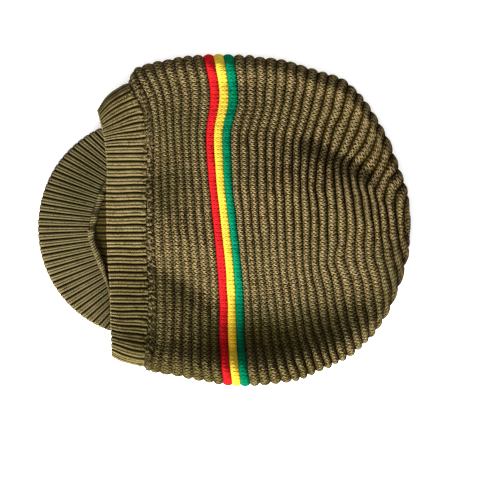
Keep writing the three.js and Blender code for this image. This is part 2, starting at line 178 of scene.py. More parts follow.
def crown_section(ridges):
    """Folds, layer lines and heights of the courses at these ridge numbers, one row each."""
    rows = read_table(COURSES, ridges)
    over = rows[:, 2:11] * CROWN_DEPTH
    chord = over[:, :1] + (over[:, 8:] - over[:, :1]) * EIGHTHS
    bow = rows[:, 11:12] * CROWN_DEPTH - (over[:, :1] + over[:, 8:]) / 2
    return {
        "north": rows[:, 0:1] * CROWN_WIDTH / 2,
        "south": rows[:, 1:2] * CROWN_WIDTH / 2,
        "over": over,
        "under": chord + bow * (1 - (2 * EIGHTHS - 1) ** 2),
        "top": rows[:, 12:13] * LOFT,
        "fold": rows[:, 13:14] * LOFT,
        "drop": read_table(DROPS, ridges),
    }


def band_section(heights):
    """The band's courses, from the rim at height 0 to the seam at 1."""
    seam = {name: value[0] for name, value in crown_section(np.array([0.0])).items()}
    share = (1 - heights)[:, None]
    along = (share + np.sin(share * math.pi / 2)) / 2
    across = (share + 1 - np.cos(share * math.pi / 2)) / 2
    corner = (EIGHTHS == 0) | (EIGHTHS == 1)

    def line(start, rim):
        way = np.where(corner, along, share)
        return start + (-rim * BAND_DEPTH - start) * way

    return {
        "north": seam["north"] + (RIM_SHIFT + RIM_WIDTH / 2 - seam["north"]) * across,
        "south": seam["south"] + (RIM_SHIFT - RIM_WIDTH / 2 - seam["south"]) * across,
        "over": line(seam["over"], RIM_OVER),
        "under": line(seam["under"], RIM_UNDER),
        "top": seam["top"] + (RIM_TOP * LOFT - seam["top"]) * share,
        "fold": seam["fold"] + (RIM_FOLD * LOFT - seam["fold"]) * share,
        "drop": seam["drop"] + (RIM_DROP - seam["drop"]) * share,
    }


def dent_depth(x, y):
    total = np.zeros_like(x)
    for ax, ay, bx, by, breadth, depth in DENTS:
        ax, bx = ax * CROWN_DEPTH, bx * CROWN_DEPTH
        ay, by = ay * CROWN_WIDTH / 2, by * CROWN_WIDTH / 2
        dx, dy = bx - ax, by - ay
        along = np.clip(((x - ax) * dx + (y - ay) * dy) / (dx * dx + dy * dy), 0, 1)
        away = np.hypot(x - ax - along * dx, y - ay - along * dy) / (breadth * CROWN_WIDTH)
        total += depth * LOFT * np.exp(-away * away)
    return total


def patches(rows, x, y):
    """The sum of soft round patches: x, y, reach along x and y, strength."""
    total = np.zeros_like(x)
    for ax, ay, reach_x, reach_y, strength in rows:
        total += strength * np.exp(-(((x - ax) / reach_x) ** 2) - ((y - ay) / reach_y) ** 2)
    return total


def fold_radius(width):
    return np.minimum(FOLD_RADIUS, width * FOLD_SHARE)


def tube(section, turns):
    """Points on the outer face, one row for each course and one column for each turn.

    A turn goes from the north fold over the upper layer at 0 to 0.5, and back below at 0.5 to 1.
    """
    north, south = section["north"], section["south"]
    width = north - south
    cap = fold_radius(width)
    quarter = cap * math.pi / 2
    flat = width - 2 * cap
    half = 2 * quarter + flat
    length = np.atleast_2d(turns % 1) * 2 * half
    upper = length < half
    run = np.where(upper, length, 2 * half - length)
    near = np.minimum(run, half - run) / np.maximum(cap, TINY)
    bent = near < math.pi / 2
    lean = np.where(bent, near, math.pi / 2)
    edge = cap * (1 - np.cos(lean))
    inset = np.where(bent, np.where(run < half / 2, edge, width - edge), run - quarter + cap)
    rise = np.sin(lean)
    y = north - inset
    across = np.where(width > 0, inset / np.maximum(width, TINY), 0)
    x_over, x_under = spline(EIGHTHS, section["over"], across), spline(EIGHTHS, section["under"], across)
    x = np.where(upper, x_over, x_under)
    sag = spline(ACROSS, section["drop"], across) + dent_depth(x, y)
    high = section["fold"] + (section["top"] - section["fold"]) * rise - sag * rise
    z = np.where(upper, high, section["fold"] * (1 - rise))
    return np.stack([x, y, z], axis=-1)


def unit(vectors):
    return vectors / np.maximum(np.linalg.norm(vectors, axis=-1, keepdims=True), 1e-12)


def frame_of(surface, along, turns):
    """Outward normals and unit steps along the hat at a grid on a surface."""
    step, swing = 0.02, 0.0015
    forward = surface(along + step, turns) - surface(along - step, turns)
    sideways = surface(along, turns + swing) - surface(along, turns - swing)
    return unit(np.cross(sideways, forward)), unit(forward)


def crown_surface(ridges, turns):
    return tube(crown_section(np.clip(ridges, 0, LAST_RIDGE)), turns)


def half_round(section):
    """Length of one layer with its two half folds."""
    width = section["north"] - section["south"]
    cap = fold_radius(width)
    return width - 2 * cap + cap * math.pi


def band_surface(heights, turns):
    """The band's face. Its ribs run straight along the hat, and only those near the folds lean in."""
    lean_run = 70  # from the folds inwards, the run over which they lean
    section = band_section(np.clip(heights, 0, 1))
    seam = band_section(np.array([1.0]))
    half, seam_half = half_round(section), half_round(seam)[0, 0]
    around = (turns % 1)[None, :] * 2 * seam_half
    upper = around < seam_half
    run = np.where(upper, around, 2 * seam_half - around)
    north_shift = section["north"] - seam["north"]
    moved = run + north_shift * smooth(0, lean_run, run)
    moved = moved + (half - seam_half - north_shift) * smooth(seam_half - lean_run, seam_half, run)
    turned = np.where(upper, moved, 2 * half - moved) / (2 * half)
    return tube(section, np.clip(turned, 0, 1 - TINY))


def waves(count, shortest, longest, seed):
    """A smooth random field over the hat, as a function of x and y in millimetres, about -1 to 1."""
    local = np.random.default_rng(seed)
    angle = local.uniform(0, 2 * math.pi, count)
    size = np.exp(local.uniform(math.log(shortest), math.log(longest), count))
    phase = local.uniform(0, 2 * math.pi, count)

    def field(x, y):
        total = np.zeros_like(x)
        for a, s, p in zip(angle, size, phase):
            total += np.sin((x * math.cos(a) + y * math.sin(a)) * 2 * math.pi / s + p)
        return total / math.sqrt(count)

    return field


def along_noise(lines, knots, seed):
    """One smooth closed random curve for each line, sampled by turn."""
    table = np.random.default_rng(seed).normal(size=(lines, knots))

    def value(line, turns):
        at = (turns % 1) * knots
        i = np.floor(at).astype(int) % knots
        f = at - np.floor(at)
        f = f * f * (3 - 2 * f)
        row = table[np.clip(line, 0, lines - 1)]
        return row[:, i] * (1 - f) + row[:, (i + 1) % knots] * f

    return value


# Meshes

def mesh_object(name, points, quads, uvs, fields, material, others=()):
    """A smooth mesh in metres in the row frame, with its knit coordinates and named fields."""
    mesh = bpy.data.meshes.new(name)
    placed = (points + np.array([SEAM_X, 0, 0])) / 1000
    corners = np.concatenate([quads.ravel(), *[np.array(face) for face in others]]).astype(np.int32)
    sizes = np.array([4] * len(quads) + [len(face) for face in others])
    starts = np.concatenate([[0], np.cumsum(sizes)[:-1]]).astype(np.int32)
    mesh.vertices.add(len(placed))
    mesh.vertices.foreach_set("co", placed.astype(np.float32).ravel())
    mesh.loops.add(len(corners))
    mesh.loops.foreach_set("vertex_index", corners)
    mesh.polygons.add(len(sizes))
    mesh.polygons.foreach_set("loop_start", starts)
    mesh.polygons.foreach_set("use_smooth", np.ones(len(sizes), bool))
    mesh.update(calc_edges=True)
    layer = mesh.uv_layers.new(name="knit")
    layer.data.foreach_set("uv", np.asarray(uvs, np.float32).ravel())
    for field, values in fields.items():
        stored = mesh.attributes.new(field, "FLOAT", "POINT")
        stored.data.foreach_set("value", np.asarray(values, np.float32).ravel())
    mesh.materials.append(material)
    piece = bpy.data.objects.new(name, mesh)
    bpy.context.scene.collection.objects.link(piece)
    return piece


def corner_uvs(corners):
    """Knit coordinates, one row for each corner of each quad."""
    return np.stack([np.stack(corner, -1) for corner in corners], 1).reshape(-1, 2)


def quad_uvs(u0, u1, v0, v1):
    """Knit coordinates of quads that run round the hat first and then along it."""
    return corner_uvs([(u0, v0), (u1, v0), (u1, v1), (u0, v1)])


def turned_over(quads, uvs):
    """The same quads facing the other way."""
    return quads[:, ::-1], uvs.reshape(-1, 4, 2)[:, ::-1].reshape(-1, 2)


def grid_faces(rows, columns, close_rows):
    """Quads over a grid whose columns go round, and whose last row joins the first where closed."""
    r = np.arange(rows if close_rows else rows - 1)
    c = np.arange(columns)
    rr, cc = np.meshgrid(r, c, indexing="ij")
    here, ahead = rr * columns, (rr + 1) % rows * columns
    beside = (cc + 1) % columns
    return np.stack([here + cc, here + beside, ahead + beside, ahead + cc], -1).reshape(-1, 4)


def end_caps(loops, size):
    """One face over the first of a stack of closed loops of points, and one over the last."""
    return [list(range(size)), list(range((loops - 1) * size, loops * size))[::-1]]


def fan(ring, centre):
    """Triangles between a closed ring of points and the point in its middle."""
    return [[int(a), int(b), centre] for a, b in zip(ring, np.roll(ring, -1))]


# The crown. A ridge runs from one whole ridge number to the next, with grooves at the whole numbers.

WALES = 176  # columns of stitches round the widest part
WALE_PITCH = 3.3
FEWEST_WALES = 8
NARROWING = 21  # from this ridge on, stitches are taken out
FLATTENING = 29  # from here to the middle of the crown the ridges flatten out
COURSES_IN_RIDGE = 2
STEPS_IN_WALE = 6
UNDER_FINE = 0.02  # how far the fine steps go on past the folds, as a turn
STATIONS = np.array([0.08, 0.18, 0.29, 0.4, 0.51, 0.62, 0.73, 0.83, 0.92, 1.0])  # rows in each ridge
OUTER_STOP, INNER_STOP = 0.05, 2.5  # the last rows before the middle of the crown, in ridges from it
INNER_SKIP = 5  # ridges at the middle of the crown without a row of their own on the inner face

STITCH_DEPTH = 0.6
GROOVE_KNOTS = [0, 1, 7, 8, 9, 10, 11, 12, 20, 34]
GROOVES = np.arange(LAST_RIDGE + 1)
GROOVE_DEPTH = np.interp(GROOVES, GROOVE_KNOTS, [1.0, 1.7, 2.3, 2.2, 1.5, 1.5, 2.3, 2.6, 3.0, 3.0])
GROOVE_SHADE = np.interp(GROOVES, GROOVE_KNOTS, [0.3, 0.55, 0.62, 0.52, 0.3, 0.3, 0.45, 0.68, 0.95, 0.95])
STRIPES_MIDDLE, STRIPES_REACH = 9.5, 1.7  # the three stripes, in ridges


def crown_turns():
    """Fine steps over the upper layer and its folds, and one to a wale below."""
    step = np.arange(STEPS_IN_WALE * WALES)
    fine = step / (STEPS_IN_WALE * WALES)
    below = (fine > 0.5 + UNDER_FINE) & (fine < 1 - UNDER_FINE)
    return fine[~below | (step % STEPS_IN_WALE == 0)]


TURNS = crown_turns()
groove_shift = along_noise(LAST_RIDGE + 1, 46, 11)
ridge_swell = along_noise(LAST_RIDGE + 1, 90, 12)
ground = waves(14, 26, 80, 13)
lumps = waves(40, 2.6, 6, 14)


def ridge_shape(u):
    """Height across a ridge, from 0 in the grooves to 1 along its crest."""
    return (1 - np.abs(2 * u - 1) ** 2.1) ** 0.9


def ring_length(ridges):
    points = crown_surface(ridges, TURNS)
    step = np.diff(np.concatenate([points, points[:, :1]], axis=1), axis=1)
    return np.linalg.norm(step, axis=-1).sum(axis=1)


def wale_count(ridge):
    """Stitches round a ridge. The crown narrows towards its middle, and stitches are taken out."""
    fitting = np.maximum(FEWEST_WALES, np.round(ring_length(ridge + 0.5) / WALE_PITCH))
    return np.where(ridge < NARROWING, WALES, fitting)


def stitch_relief(a, b):
    """Depth of the gaps beside wales and between V legs, at knit coordinates, 0 to about 1."""
    side = np.abs(a - np.floor(a) - 0.5)
    slant = b - 2.0 * side
    slant = np.abs(slant - np.floor(slant) - 0.5)
    return 0.4 * smooth(0.22, 0.5, side) + 0.6 * smooth(0.15, 0.5, slant)


def open_grooves(ridges, y):
    """How open the grooves are past the stripes, and how dark their painted shade: fully at the north, less
    over the southern hollow.
    """
    beyond = smooth(10, 13, ridges)[:, None]
    return 1 - beyond * (0.3 * smooth(5, -45, y) - 0.3 * smooth(-95, -125, y))


def nearest_groove(table, k, u):
    """The value for the groove nearest to a place at the share u across ridge k."""
    before, after = table[np.clip(k, 0, LAST_RIDGE)], table[np.clip(k + 1, 0, LAST_RIDGE)]
    return np.where(u < 0.5, before[:, None], after[:, None])


def crown_frame(ridges, turns):
    """Points, normals and steps along the hat. Next to the band the normals stand square to its length."""
    normal, forward = frame_of(crown_surface, ridges, turns)
    normal[..., 0] *= smooth(0, 1, ridges)[:, None]
    return crown_surface(ridges, turns), unit(normal), forward


def fold_shade(ridges, turns, x, y, across):
    """The soft shadows of the upper layer: patches, the long southern valley and the roll beside it."""
    valley = np.exp(-(((across - 0.872) / 0.07) ** 2))
    valley = valley * (smooth(5, 9.5, ridges) * smooth(31, 22, ridges))[:, None]
    roll = smooth(0.93, 0.99, across) * smooth(24, 17, ridges)[:, None]
    upper = (turns % 1 < 0.5)[None, :]
    return np.where(upper, patches(SHADOWS, x, y) + 0.68 * valley + 0.42 * roll, 0.0)


def outer_face(ridges, turns):
    """Points of the ridged and stitched outer face, and its fields."""
    points, normal, forward = crown_frame(ridges, turns)
    x, y = points[..., 0], points[..., 1]
    section = crown_section(np.clip(ridges, 0, LAST_RIDGE))
    across = (section["north"] - y) / np.maximum(section["north"] - section["south"], TINY)
    k = np.floor(ridges + ROUNDING).astype(int)
    u = (ridges - k)[:, None]
    shape = ridge_shape(u)

    # The ridges flatten at the middle of the crown and are pulled tighter round the north fold.
    close = smooth(LAST_RIDGE, FLATTENING, ridges)[:, None]
    opened = open_grooves(ridges, y)
    pulled = smooth(11, 16, ridges)[:, None] * smooth(0.07, 0.0, across)
    depth = nearest_groove(GROOVE_DEPTH, k, u) * (0.25 + 0.75 * close)
    depth = depth * opened * (1 - 0.36 * pulled)

    # The first ridge is a knotted seam, with a lump at each rib of the band.
    first = smooth(1.5, 0.5, ridges)[:, None] * np.ones_like(x)
    lump = first * (0.35 * np.cos(2 * math.pi * BAND_RIBS * turns)[None, :] + 0.6 * lumps(x, y))

    # The stripes are straighter than the other ridges, and their stitches flatter.
    stripe = np.exp(-(((ridges - STRIPES_MIDDLE) / STRIPES_REACH) ** 4))[:, None]
    count = wale_count(k)[:, None]
    stitches = stitch_relief(turns[None, :] * count, ridges[:, None] * COURSES_IN_RIDGE)
    swell = ridge_swell(k, turns) * shape
    out = (shape - 1) * depth + 0.22 * swell * close + 0.3 * ground(x, y) * close + lump
    out = out - STITCH_DEPTH * stitches * close * (1 - 0.4 * stripe)

    shift = groove_shift(k, turns) * (1 - u) + groove_shift(k + 1, turns) * u
    pushed = patches(SLIDES, x, y) * smooth(2, 13, points[..., 2])
    slide = 0.33 * shift * close * (1 - 0.75 * stripe) + pushed

    points = points + normal * out[..., None] + forward * slide[..., None]
    points[..., 2] = np.maximum(points[..., 2], 0.0)
    # Painted shade in the grooves between the ridges, carried by the groove field.
    groove = (1 - shape) * nearest_groove(GROOVE_SHADE, k, u) * opened
    return points, {"groove": groove, "shade": fold_shade(ridges, turns, x, y, across), "knot": first}


def inner_face(ridges, turns):
    """Points of the plain inner face, and its fields. Its groove field is full everywhere, so the whole inner
    face gets the painted groove shade.
    """
    points, normal, _ = crown_frame(ridges, turns)
    blank = np.zeros(points.shape[:2])
    return points - normal * CROWN_WALL, {"groove": blank + 1, "shade": blank, "knot": blank}


def face_rows(start, end, closed):
    """Ridge numbers of a piece's rows, on its outer face and on its inner one."""
    outer = [start + JOIN]
    for k in range(start, end):
        outer.extend(k + STATIONS)
    outer[-1] = end - (OUTER_STOP if closed else JOIN)
    whole = range(start + 1, end - INNER_SKIP if closed else end)
    return np.array(outer), np.array([start + JOIN, *whole, end - (INNER_STOP if closed else JOIN)])


def welted_piece(name, node, start, end, material):
    """The ridges from start to end as one closed mesh. The last piece closes the crown."""
    closed = end == LAST_RIDGE
    outer_at, inner_at = face_rows(start, end, closed)
    outer, outer_fields = outer_face(outer_at, TURNS)
    inner, inner_fields = inner_face(inner_at[::-1], TURNS)
    row_at = np.concatenate([outer_at, inner_at[::-1]])
    outer_rows, columns = len(outer_at), len(TURNS)
    points = np.concatenate([outer.reshape(-1, 3), inner.reshape(-1, 3)])
    fields = {key: np.append(value, inner_fields[key]) for key, value in outer_fields.items()}
    faces = grid_faces(len(row_at), columns, True)
    if closed:
        # No quads join the two faces here. Each closes on a point of its own, below.
        faces = faces[faces[:, 0] // columns != outer_rows - 1]

    row, next_row, col = faces[:, 0] // columns, faces[:, 2] // columns, faces[:, 0] % columns
    ridge = np.floor(np.minimum(row_at[row], row_at[next_row]) + ROUNDING).astype(int)
    count = wale_count(np.arange(LAST_RIDGE))[np.clip(ridge, 0, LAST_RIDGE - 1)]
    turn = np.append(TURNS, 1.0)
    course = row_at * COURSES_IN_RIDGE
    uvs = quad_uvs(turn[col] * count, turn[col + 1] * count, course[row], course[next_row])

    fans = []
    if closed:
        pole = crown_surface(np.array([float(LAST_RIDGE)]), np.array([0.0]))[0, 0]
        first_new = len(points)
        points = np.concatenate([points, [pole, inner[0].mean(axis=0)]])
        fields = {key: np.append(value, [0, 0]) for key, value in fields.items()}
        last_outer = (outer_rows - 1) * columns + np.arange(columns)
        fans = fan(last_outer, first_new)
        fans += [[b, a, centre] for a, b, centre in fan(last_outer + columns, first_new + 1)]
        uvs = np.concatenate([uvs, np.zeros((3 * len(fans), 2))])
    piece = mesh_object(name, points, faces, uvs, fields, material, fans)
    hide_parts(node)
    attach(piece, "root")
    return piece


# The band

RIB_GROOVE, RIB_LINE = 1.6, 0.6  # depths of the groove beside a rib and of the fine line along it
GROOVE_BREADTH, LINE_BREADTH = 0.14, 0.08  # of a rib
RIM_START = 0.045  # the height at which the outer face turns over the rim
RIM_ROUND = 0.8  # how far the rim bulges, as a share of a half circle


def rib_relief(phase):
    """Depth below a rib's top of a two-wale rib: a groove at 0 and a fine line at a half."""
    away = np.abs(phase - np.round(phase))
    middle = np.abs((phase % 1) - 0.5)
    groove = RIB_GROOVE * np.exp(-(away / GROOVE_BREADTH) ** 2)
    return groove + RIB_LINE * np.exp(-(middle / LINE_BREADTH) ** 2)


def band_frame(heights, turns):
    """Normals and steps along the band, from just inside its two edges, where the surface goes on."""
    return frame_of(band_surface, np.clip(heights, 0.02, 0.98), turns)


def ribbed_band(material):
    turns = np.arange(BAND_RIBS * RIB_COLUMNS) / (BAND_RIBS * RIB_COLUMNS)
    outer_at = np.linspace(1, RIM_START, 40)
    normal, _ = band_frame(outer_at, turns)
    points = band_surface(outer_at, turns)
    x, y = points[..., 0], points[..., 1]
    wobble = 0.05 * np.sin(2 * math.pi * outer_at)[:, None] * along_noise(1, 30, 21)(np.array([0]), turns)
    lower = smooth(5, -25, y) * smooth(-112, -95, y)
    relief = rib_relief(turns[None, :] * BAND_RIBS + wobble) * (1 + 0.25 * lower)
    # Towards the crown the ribs fade into the knotted seam.
    fade = smooth(1.02, 0.93, outer_at)[:, None]
    knotted = smooth(0.8, 0.97, outer_at)[:, None]
    swell = 0.25 * waves(20, 9, 40, 22)(x, y)
    knots = knotted * 0.5 * lumps(x, y)
    rows = [points + normal * (swell + knots - relief * (0.45 + 0.55 * fade))[..., None]]
    # Painted shade in the ribs' grooves: the groove field follows the ribs' depth, deeper on the band's lower
    # half.
    grooves = [relief / RIB_GROOVE]
    shade = np.where((turns < 0.5)[None, :], patches(SHADOWS, x, y), 0)
    at = list(outer_at)

    # The rim's rounded edge, and the inner wall behind it, which is painted dark as shade in the hat's mouth.
    edge_relief = rib_relief(turns[None, :] * BAND_RIBS)
    rim_normal, rim_forward = band_frame(np.array([0.03]), turns)
    rim = band_surface(np.array([RIM_START]), turns)
    for angle in np.radians([25, 55, 90, 125, 155, 180]):
        inward = BAND_WALL / 2 * (1 - math.cos(angle))
        out = BAND_WALL / 2 * RIM_ROUND * math.sin(angle)
        carve = edge_relief * (1 - 0.5 * angle / math.pi)
        direction = -rim_forward * math.sin(angle) + rim_normal * math.cos(angle)
        rows.append(rim - rim_normal * inward - rim_forward * out - direction * carve[..., None])
        grooves.append(edge_relief / RIB_GROOVE)
        at.append(RIM_START - out / BAND_DEPTH)
    inner_at = np.array([0.12, 0.25, 0.4, 0.6, 0.8, 1.0])
    inner_normal, _ = band_frame(inner_at, turns)
    inner = band_surface(inner_at, turns)
    rows.append(inner - inner_normal * (BAND_WALL - 0.5 * edge_relief)[..., None])
    grooves.append(np.broadcast_to(edge_relief / RIB_GROOVE, inner.shape[:2]))
    at.extend(inner_at)

    points = np.concatenate(rows)
    points[..., 2] = np.maximum(points[..., 2], 0)
    count_rows, columns = points.shape[:2]
    rest = np.zeros((count_rows - len(outer_at), columns))
    # Painted shade inside the mouth: none on the rim's outer curve, rising round it to full on the inner
    # wall.
    inside = rest + np.array([0, 0, 0.1, 0.4, 0.7, *[1.0] * (len(rest) - 5)])[:, None]
    fields = {
        "groove": np.concatenate(grooves),
        "shade": np.concatenate([shade, inside]),
        "knot": np.concatenate([knotted * np.ones_like(relief), rest]),
    }
    faces = grid_faces(count_rows, columns, True)
    row, col = faces[:, 0] // columns, faces[:, 0] % columns
    along = np.array(at) * BAND_DEPTH / COURSE_PITCH
    uvs = quad_uvs(col / RIB_COLUMNS, (col + 1) / RIB_COLUMNS, along[row], along[(row + 1) % count_rows])
    faces, uvs = turned_over(faces, uvs)
    piece = mesh_object("knit_band", points.reshape(-1, 3), faces, uvs, fields, material)
    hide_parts("band")
    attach(piece, "root")
    return piece


# The peak. Its ribs fan out from a point inside the hat.

PEAK_RIBS = 36
PEAK_REACH = 58
PEAK_RADIUS = 92.5
PEAK_THICKNESS = 5.2
PEAK_SHIFT = -6
PEAK_GAP = 0.35  # to the rim
PEAK_END = 6  # length of the shortest ribs, at its two ends
PEAK_BULGE = 0.008  # how much squarer than a circle its edge is
RIB_FAN_SETBACK = 36  # from the middle of the edge's circle to the fan's point
FAN_X = -BAND_DEPTH - PEAK_REACH + PEAK_RADIUS + RIB_FAN_SETBACK
HALVINGS = 40

# Rows along a rib from the rim outwards and back below, with the height of the upper ones as a share
# of the thickness, and of the lower ones in millimetres
PEAK_ROWS = np.concatenate([np.linspace(0, 0.94, 50), [0.955, 0.97, 0.983, 0.993, 1.0]])
PEAK_HEIGHT = np.interp(PEAK_ROWS, [0, 0.04, 0.2, 0.9, 0.955, 0.983, 1.0],
                        [0.72, 0.9, 1, 0.97, 0.86, 0.68, 0.42])
PEAK_UNDER_ROWS = np.array([0.993, 0.975, 0.95, 0.8, 0.6, 0.4, 0.2, 0.0])
PEAK_UNDER_Z = np.array([0.6, 0.2, 0, 0, 0, 0, 0, 0])


def lower_rim_x(y):
    section = band_section(np.array([0.0]))
    north, south = section["north"][0, 0], section["south"][0, 0]
    across = np.clip((north - y) / (north - south), 0, 1)
    return spline(EIGHTHS, section["under"], across[None, :])[0]


def peak_ribs(angles):
    """Lengths from the fan's point at which ribs at these angles from the peak's middle start and end."""
    near = np.full(angles.shape, float(RIB_FAN_SETBACK))
    far = near + PEAK_RADIUS
    for _ in range(HALVINGS):
        middle = (near + far) / 2
        rim_x = lower_rim_x(PEAK_SHIFT + np.sin(angles) * middle)
        gap = FAN_X - np.cos(angles) * middle - rim_x + PEAK_GAP
        near = np.where(gap > 0, middle, near)
        far = np.where(gap > 0, far, middle)
    side = RIB_FAN_SETBACK * np.sin(angles)
    reach = RIB_FAN_SETBACK * np.cos(angles) + np.sqrt(PEAK_RADIUS**2 - side**2)
    return (near + far) / 2, reach * (1 + PEAK_BULGE * np.sin(2 * angles) ** 2)


def peak_end(sign):
    """The angle of the last rib on one side, which is PEAK_END long."""
    low, high = 0.5, 1.2
    for _ in range(HALVINGS):
        middle = (low + high) / 2
        inner, outer = peak_ribs(np.array([sign * middle]))
        if outer[0] - inner[0] > PEAK_END:
            low = middle
        else:
            high = middle
    return sign * low


def ribbed_peak(material):
    south, north = peak_end(-1), peak_end(1)
    count = PEAK_RIBS * RIB_COLUMNS
    phase = np.arange(count + 1) / RIB_COLUMNS
    angles = south + (north - south) * np.arange(count + 1) / count
    inner, outer = peak_ribs(angles)
    relief = rib_relief(phase)
    outer = outer - 0.45 * relief
    length = inner + (outer - inner) * np.concatenate([PEAK_ROWS, PEAK_UNDER_ROWS])[:, None]
    x = FAN_X - np.cos(angles) * length
    y = PEAK_SHIFT + np.sin(angles) * length
    carve = relief[None, :] * smooth(1.02, 0.97, PEAK_ROWS)[:, None] * 0.85
    top = PEAK_HEIGHT[:, None] * PEAK_THICKNESS - carve
    z = np.concatenate([top, np.tile(PEAK_UNDER_Z[:, None], (1, count + 1))])
    swell = 0.2 * waves(16, 12, 45, 31)(x, y)
    z = np.where(z > 1, z + swell, z)
    rows, columns = z.shape
    # Each rib's column is a loop over the top, round the edge and back below. The loops are stacked.
    points = np.stack([x, y, z], -1).transpose(1, 0, 2)
    v_of = (length / COURSE_PITCH).T
    cc, rr = [grid.ravel() for grid in np.meshgrid(np.arange(columns - 1), np.arange(rows), indexing="ij")]
    cn, nn = cc + 1, (rr + 1) % rows
    quads = np.stack([cc * rows + rr, cc * rows + nn, cn * rows + nn, cn * rows + rr], -1)
    corners = [(cc, rr), (cc, nn), (cn, nn), (cn, rr)]
    uvs = corner_uvs([(phase[c], v_of[c, r]) for c, r in corners])
    quads, uvs = turned_over(quads, uvs)
    uvs = np.concatenate([uvs, np.zeros((2 * rows, 2))])
    # Painted shade: in the ribs' grooves, and the soft shadow patches of the folds.
    fields = {
        "groove": np.repeat(relief / RIB_GROOVE, rows),
        "shade": patches(SHADOWS, points[..., 0], points[..., 1]),
        "knot": np.zeros(rows * columns),
    }
    caps = end_caps(columns, rows)
    piece = mesh_object("knit_peak", points.reshape(-1, 3), quads, uvs, fields, material, caps)
    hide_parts("peak")
    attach(piece, "root")
    return piece


def rim_seam(material):
    """The thick, knotted seam by which the peak is sewn to the lower rim, seen in the mouth."""
    steps, sides, knots = 360, 16, 34
    north_end, south_end = 37, -64
    height = 5.0
    twist_pitch = 4.4
    y = np.linspace(north_end, south_end, steps)
    x = lower_rim_x(y) - 0.6
    run = np.concatenate([[0], np.cumsum(np.hypot(np.diff(x), np.diff(y)))])
    taper = smooth(38, 20, y) * smooth(-56, -34, y)
    noise = np.random.default_rng(41).normal(size=knots)
    knot = np.interp(run, np.linspace(0, run[-1], knots), noise)
    z = height + 0.5 * knot * taper
    angle = np.arange(sides) * 2 * math.pi / sides
    folds = np.cos(2 * (2 * math.pi * run[:, None] / twist_pitch + angle))
    radius = (1.1 + 1.5 * taper)[:, None] * (1 + 0.13 * folds) + 0.2 * (knot * taper)[:, None]
    tangent = unit(np.stack([np.gradient(x), np.gradient(y), np.zeros(steps)], -1))
    out = np.stack([tangent[:, 1], -tangent[:, 0], np.zeros(steps)], -1)
    ring = out[:, None] * (np.cos(angle) * radius)[..., None]
    ring[..., 2] += np.sin(angle) * radius
    points = (np.stack([x, y, z], -1)[:, None] + ring).reshape(-1, 3)
    faces = grid_faces(steps, sides, False)
    row, col = faces[:, 0] // sides, faces[:, 0] % sides
    uvs = quad_uvs(col / 4, (col + 1) / 4, run[row] / COURSE_PITCH, run[row + 1] / COURSE_PITCH)
    faces, uvs = turned_over(faces, uvs)
    uvs = np.concatenate([uvs, np.zeros((2 * sides, 2))])
    blank = np.zeros(len(points))
    # Painted shade in the hollows of the seam's twist, carried by the groove field.
    fields = {"groove": 0.5 * smooth(-0.4, -1, folds.ravel()), "shade": blank, "knot": blank + 0.4}
    piece = mesh_object("rim_seam", points, faces, uvs, fields, material, end_caps(steps, sides))
    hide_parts("peak")
    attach(piece, "root")
    return piece


# Materials

class Nodes:
    """Short names for a material's nodes."""

    def __init__(self, name):
        self.material = bpy.data.materials.new(name)
        self.material.use_nodes = True
        self.tree = self.material.node_tree
        self.shader = self.tree.nodes["Principled BSDF"]

    def add(self, kind, **inputs):
        node = self.tree.nodes.new(kind)
        for name, value in inputs.items():
            self.plug(node.inputs[name], value)
        return node

    def plug(self, socket, value):
        if isinstance(value, bpy.types.NodeSocket):
            self.tree.links.new(value, socket)
        else:
            socket.default_value = value

    def math(self, operation, *values):
        node = self.tree.nodes.new("ShaderNodeMath")
        node.operation = operation
        for i, value in enumerate(values):
            self.plug(node.inputs[i], value)
        return node.outputs[0]

    def plus(self, a, b):
        return self.math("ADD", a, b)

    def minus(self, a, b):
        return self.math("SUBTRACT", a, b)

    def times(self, a, b):
        return self.math("MULTIPLY", a, b)

    def from_middle(self, value):
        """Distance from a half of a value that runs from 0 to 1."""
        return self.math("ABSOLUTE", self.minus(value, 0.5))

    def blend(self, factor, a, b):
        node = self.tree.nodes.new("ShaderNodeMix")
        node.data_type = "RGBA"
        self.plug(node.inputs["Factor"], factor)
        self.plug(node.inputs[6], a)
        self.plug(node.inputs[7], b)
        return node.outputs[2]

    def ramp(self, value, low, high):
        node = self.tree.nodes.new("ShaderNodeMapRange")
        node.interpolation_type = "SMOOTHSTEP"
        self.plug(node.inputs["Value"], value)
        node.inputs["From Min"].default_value = low
        node.inputs["From Max"].default_value = high
        return node.outputs[0]

    def field(self, name):
        node = self.tree.nodes.new("ShaderNodeAttribute")
        node.attribute_name = name
        return node.outputs["Fac"]

    def noise(self, vector, scale, detail):
        node = self.add("ShaderNodeTexNoise", Scale=scale, Detail=detail)
        self.plug(node.inputs["Vector"], vector)
        return node.outputs["Fac"]


